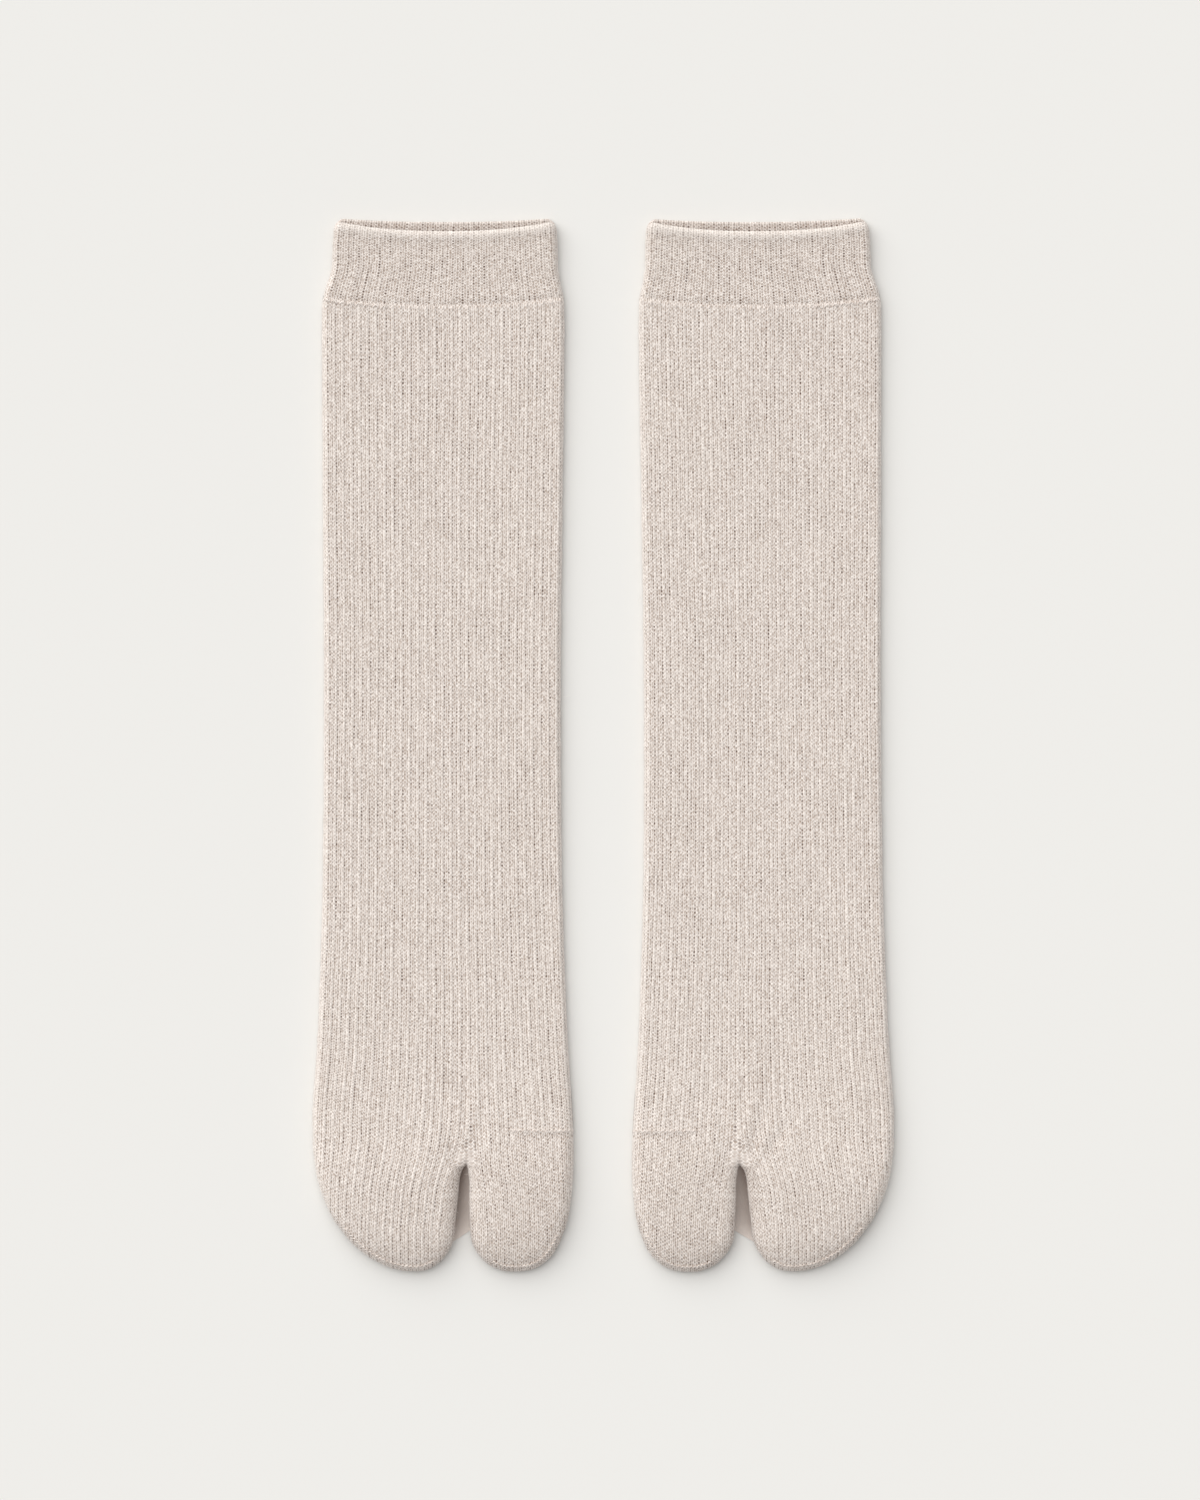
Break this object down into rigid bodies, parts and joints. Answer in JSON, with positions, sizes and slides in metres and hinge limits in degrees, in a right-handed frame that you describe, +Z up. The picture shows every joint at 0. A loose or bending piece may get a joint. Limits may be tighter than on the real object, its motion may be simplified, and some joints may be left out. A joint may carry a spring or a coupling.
{
  "type": "pair of tabi socks",
  "caption": "Pair of ribbed knitted split-toe socks lying flat side by side, with plain cuffs, plain big-toe pockets and rounded toes.",
  "frame": {"origin": "middle of the pair's box, at the surface that the socks lie on", "axes": "+Y from the toes towards the cuffs, +X from the right-foot sock towards the left-foot sock, +Z up out of the upper faces"},
  "size_m": [0.2042, 0.3692, 0.0089],
  "materials": {
    "melange_knit": "matte melange knit"
  },
  "bodies": {
    "root": {"right_foot_sock": "melange_knit", "left_foot_sock": "melange_knit"}
  },
  "joints": []
}
